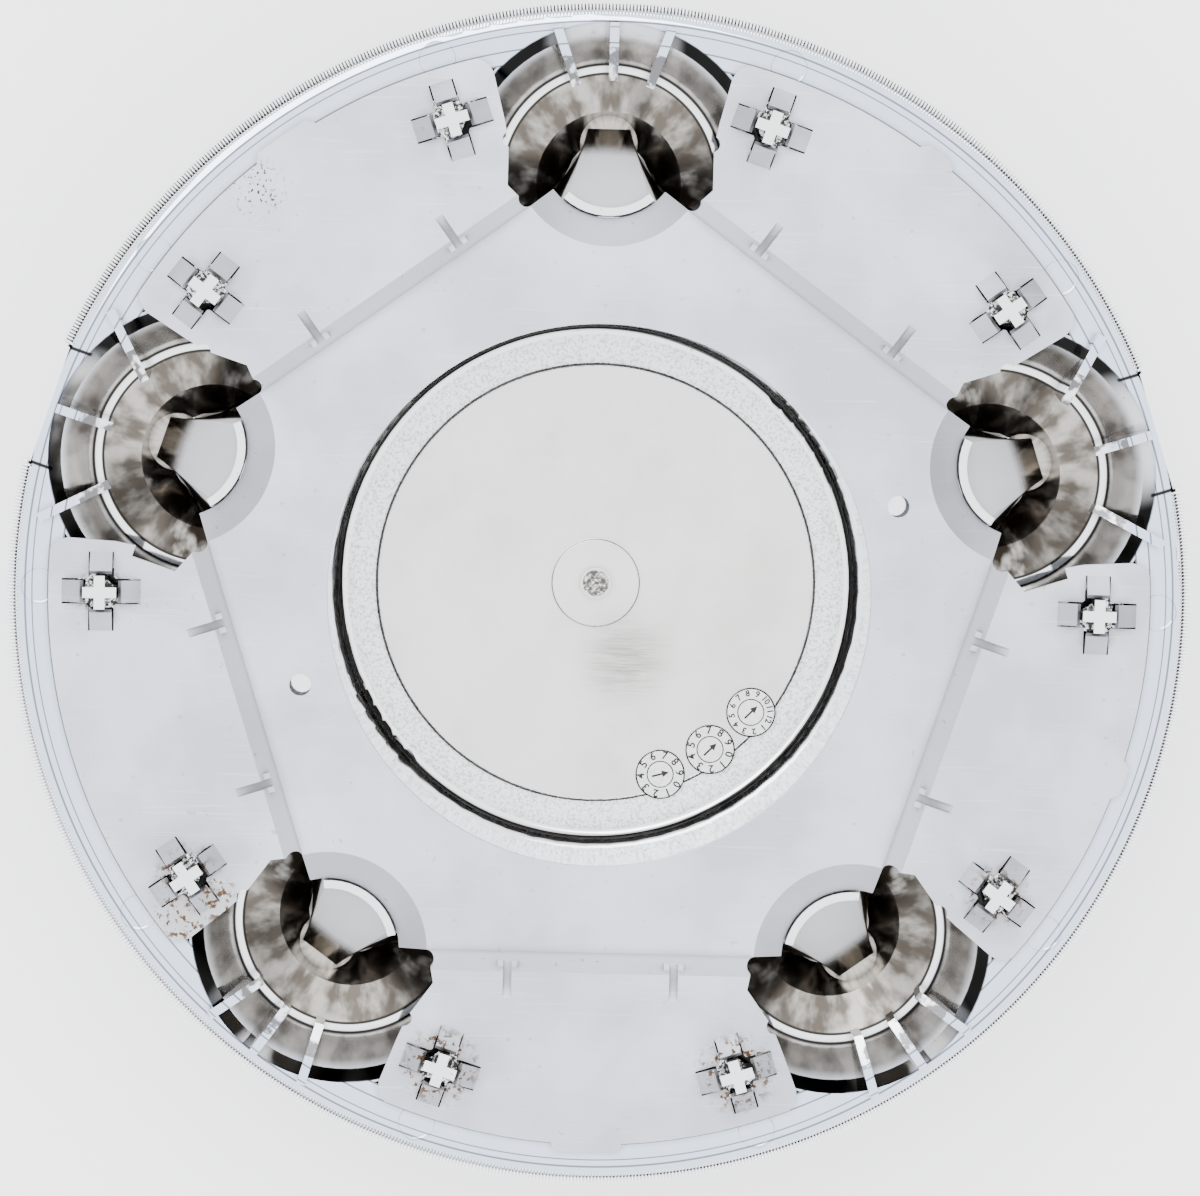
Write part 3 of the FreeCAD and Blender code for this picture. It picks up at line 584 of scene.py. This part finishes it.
def make_knurl(name, first, last, material):
    """Fine teeth across the rounded lip of the rim, from one notch round to the next."""
    teeth = round(KNURL_TEETH * (last - first) / 360)
    points, faces = [], []
    for step in range(2 * teeth + 1):
        turn = first + (last - first) * step / (2 * teeth)
        for level in KNURL_LEVELS:
            end = level in (KNURL_LEVELS[0], KNURL_LEVELS[-1])
            reach = LIP_RADIUS + (-KNURL_SINK if end else KNURL_HEIGHT * (step % 2))
            angle = math.radians(level)
            points.append(polar(LIP_CENTER[0] + reach * math.cos(angle), turn,
                                LIP_CENTER[1] + reach * math.sin(angle)))
    row = len(KNURL_LEVELS)
    for step in range(2 * teeth):
        for index in range(row - 1):
            corner = step * row + index
            faces.append((corner, corner + row, corner + row + 1, corner + 1))
    mesh = bpy.data.meshes.new(name)
    mesh.from_pydata(points, [], faces)
    add_piece(name, mesh, material)


def add_rings(shape, center, profile, limit=0.0, count=64, cap=True):
    """A low turned form given by its profile, kept outside a radius from the wheel axis."""
    rings = []
    for radius, height in profile:
        ring = []
        for step in range(count):
            place = Vector((*center, 0)) + polar(radius, 360 * step / count, height) / MM
            reach = math.hypot(place.x, place.y)
            if reach < limit:
                place.x *= limit / reach
                place.y *= limit / reach
            ring.append(shape.verts.new(place * MM))
        rings.append(ring)
    for outer, inner in zip(rings, rings[1:]):
        for step in range(count):
            after = (step + 1) % count
            shape.faces.new((outer[step], outer[after], inner[after], inner[step]))
    if cap:
        shape.faces.new(rings[-1])


def shape_piece(name, shape, material, smooth=False):
    for face in shape.faces:
        face.smooth = smooth
    mesh = bpy.data.meshes.new(name)
    shape.to_mesh(mesh)
    shape.free()
    add_piece(name, mesh, material)


def make_steps(material):
    """The rounded steps round the dish disc and round the gate."""
    shape = bmesh.new()
    turns = [math.radians(turn) for turn in range(0, 91, 15)]
    for radius, low, high in ((DISC_RADIUS, ANNULUS_TOP, DISC_TOP), (GATE_RADIUS, DISC_TOP, GATE_TOP)):
        bend = (high - low) / 2
        hollow = [(2 - math.sin(turn), 1 - math.cos(turn)) for turn in turns]
        round_over = [(math.cos(turn), 1 + math.sin(turn)) for turn in turns[1:]]
        profile = [(radius + bend * out, low + bend * rise) for out, rise in hollow + round_over]
        add_rings(shape, (0, 0), profile, count=256, cap=False)
    shape_piece("dish_steps", shape, material, smooth=True)


def make_marks(material):
    """The round ejector marks on the rim land, each half under the edge of the plate."""
    shape = bmesh.new()
    for lobe in LOBE_TURNS:
        for side in (-1, 1):
            angle = math.radians(lobe + side * MARK_SPREAD)
            center = (MARK_RING * math.cos(angle), MARK_RING * math.sin(angle))
            profile = [(MARK_RADIUS - step, SEAT_HEIGHT + rise) for step, rise in MARK_PROFILE]
            add_rings(shape, center, profile, limit=PLATE_RADIUS + MARK_CLEARANCE)
    shape_piece("ejector_marks", shape, material)


def add_text(shape, text, size, matrix):
    """Raised figures, added as mesh to a shape."""
    curve = bpy.data.curves.new("figure", "FONT")
    curve.body = text
    curve.size = size * MM
    curve.extrude = RELIEF * MM / 2
    curve.offset = STROKE_GAIN * MM
    curve.align_x = "CENTER"
    curve.align_y = "CENTER"
    curve.resolution_u = 3
    holder = bpy.data.objects.new("figure", curve)
    mesh = bpy.data.meshes.new_from_object(holder)
    mesh.transform(matrix)
    shape.from_mesh(mesh)
    bpy.data.objects.remove(holder)
    bpy.data.meshes.remove(mesh)
    bpy.data.curves.remove(curve)


def add_arrow(shape, center, turn):
    """A raised pointer across the middle of a dial."""
    place = Matrix.Translation(Vector((*center, 0)) * MM) @ Matrix.Rotation(math.radians(turn), 4, "Z")
    rings = []
    for height in (DIAL_TOP - POINTER_FOOT, DIAL_TOP + RELIEF):
        rings.append([shape.verts.new(place @ (Vector((across, along, height)) * MM))
                      for across, along in POINTER])
    for index in range(len(POINTER)):
        after = (index + 1) % len(POINTER)
        shape.faces.new((rings[0][index], rings[0][after], rings[1][after], rings[1][index]))
    shape.faces.new(rings[1])


def make_dial(name, center, figures, first_turn, pointer_turn, material):
    """A small round insert with plain figures round a pointer."""
    shape = bmesh.new()
    raised = DIAL_TOP + RELIEF
    add_rings(shape, center, (
        (DIAL_RADIUS, ANNULUS_TOP - DIAL_FOOT), (DIAL_RADIUS, DIAL_TOP),
        (DIAL_RADIUS - DIAL_EDGE, raised), (DIAL_RADIUS - DIAL_EDGE * 2, DIAL_TOP),
        (DIAL_INNER + DIAL_INNER_EDGE * 2, DIAL_TOP), (DIAL_INNER + DIAL_INNER_EDGE, raised),
        (DIAL_INNER, DIAL_TOP)))
    step = 360 / len(figures)
    for index, figure in enumerate(figures):
        turn = first_turn - index * step
        place = Vector((*center, DIAL_TOP + RELIEF / 2)) * MM + polar(FIGURE_RING, turn, 0)
        matrix = Matrix.Translation(place) @ Matrix.Rotation(math.radians(turn - 90), 4, "Z")
        add_text(shape, str(figure), FIGURE_SIZES[len(figures)], matrix)
    add_arrow(shape, center, pointer_turn)
    shape_piece(name, shape, material)


# Stage, in metres, with the lens in millimetres

FLOOR_HALF = 1.6
CAMERA_AIM = Vector((0, 0, 0.0425))
CAMERA_PLACE = Vector((-0.015, 0.048, 0.8425))
PHOTO_UP_TURN = 91.45
LENS = 160.8
SENSOR_WIDTH = 36
SOFTBOX_PLACE = (-0.35, 0.75, 1.5)
SOFTBOX_SIZE = 0.9
SOFTBOX_POWER = 14


def make_floor():
    mesh = bpy.data.meshes.new("floor")
    half = FLOOR_HALF
    corners = [(-half, -half, 0), (half, -half, 0), (half, half, 0), (-half, half, 0)]
    mesh.from_pydata(corners, [], [(0, 1, 2, 3)])
    floor = bpy.data.objects.new("floor", mesh)
    bpy.context.collection.objects.link(floor)
    mesh.materials.append(floor_material())


# Shades of the sky, each with its height: 0 at the horizon and 1 overhead
SKY = (
    (0.0, (0.70, 0.71, 0.72, 1)),
    (0.16, (0.45, 0.44, 0.43, 1)),
    (0.22, (0.012, 0.010, 0.008, 1)),
    (0.44, (0.02, 0.017, 0.014, 1)),
    (0.54, (0.95, 0.97, 1.0, 1)),
    (1.0, (1.0, 1.0, 1.0, 1)),
)


def make_world():
    """A pale tent with a dark band at middle height, so that the chrome has something to show."""
    world = bpy.data.worlds.new("studio")
    bpy.context.scene.world = world
    world.use_nodes = True
    nodes = Nodes(world.node_tree)
    where = nodes.add("ShaderNodeTexCoord").outputs["Generated"]
    height = nodes.add("ShaderNodeSeparateXYZ", {"Vector": where}).outputs["Z"]
    drift = nodes.ramp(nodes.noise(where, 1.4, 1.0), 0.3, 0.7, -0.14, 0.14)
    level = nodes.math("ADD", height, drift)
    bands = nodes.add("ShaderNodeValToRGB", {"Fac": level})
    stops = bands.color_ramp.elements
    for index, (place, shade) in enumerate(SKY):
        stop = stops[index] if index < len(stops) else stops.new(place)
        stop.position = place
        stop.color = shade
    inputs = {"Color": bands.outputs["Color"], "Strength": SKY_STRENGTH}
    background = nodes.add("ShaderNodeBackground", inputs)
    output = nodes.add("ShaderNodeOutputWorld")
    nodes.put(output.inputs["Surface"], background.outputs["Background"])


def make_softbox():
    """One large soft light, turned towards the cap."""
    data = bpy.data.lights.new("softbox", "AREA")
    data.size = SOFTBOX_SIZE
    data.energy = SOFTBOX_POWER
    light = bpy.data.objects.new("softbox", data)
    bpy.context.collection.objects.link(light)
    light.location = SOFTBOX_PLACE
    light.rotation_euler = (-Vector(SOFTBOX_PLACE)).to_track_quat("-Z", "Y").to_euler()


def make_camera():
    """The camera looks down on the open back, a little from the top left of the photo."""
    up_turn = math.radians(PHOTO_UP_TURN)
    back = (CAMERA_PLACE - CAMERA_AIM).normalized()
    right = Vector((math.cos(up_turn), math.sin(up_turn), 0)).cross(back).normalized()
    up = back.cross(right)
    data = bpy.data.cameras.new("photo_camera")
    data.lens = LENS
    data.sensor_width = SENSOR_WIDTH
    data.sensor_fit = "HORIZONTAL"
    camera = bpy.data.objects.new("photo_camera", data)
    bpy.context.collection.objects.link(camera)
    camera.matrix_world = Matrix((right, up, back)).transposed().to_4x4()
    camera.location = CAMERA_PLACE
    bpy.context.scene.camera = camera


def paint_node(name, material):
    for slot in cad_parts[name].material_slots:
        slot.material = material


chrome = chrome_material()
paint_node("cap_moulding", chrome)
paint_node("retainer_plate", steel_material())
right, left = NOTCH_TURNS
knurled = knurl_material()
make_knurl("knurl_upper", right + NOTCH_SPREAD, left - NOTCH_SPREAD, knurled)
make_knurl("knurl_lower", left + NOTCH_SPREAD, right + 360 - NOTCH_SPREAD, knurled)
make_marks(chrome)
make_steps(chrome)
dial_chrome = dial_material()
for name, center, figures, first_turn, pointer_turn in DIALS:
    make_dial(name, center, figures, first_turn, pointer_turn, dial_chrome)
make_floor()
make_world()
make_softbox()
make_camera()
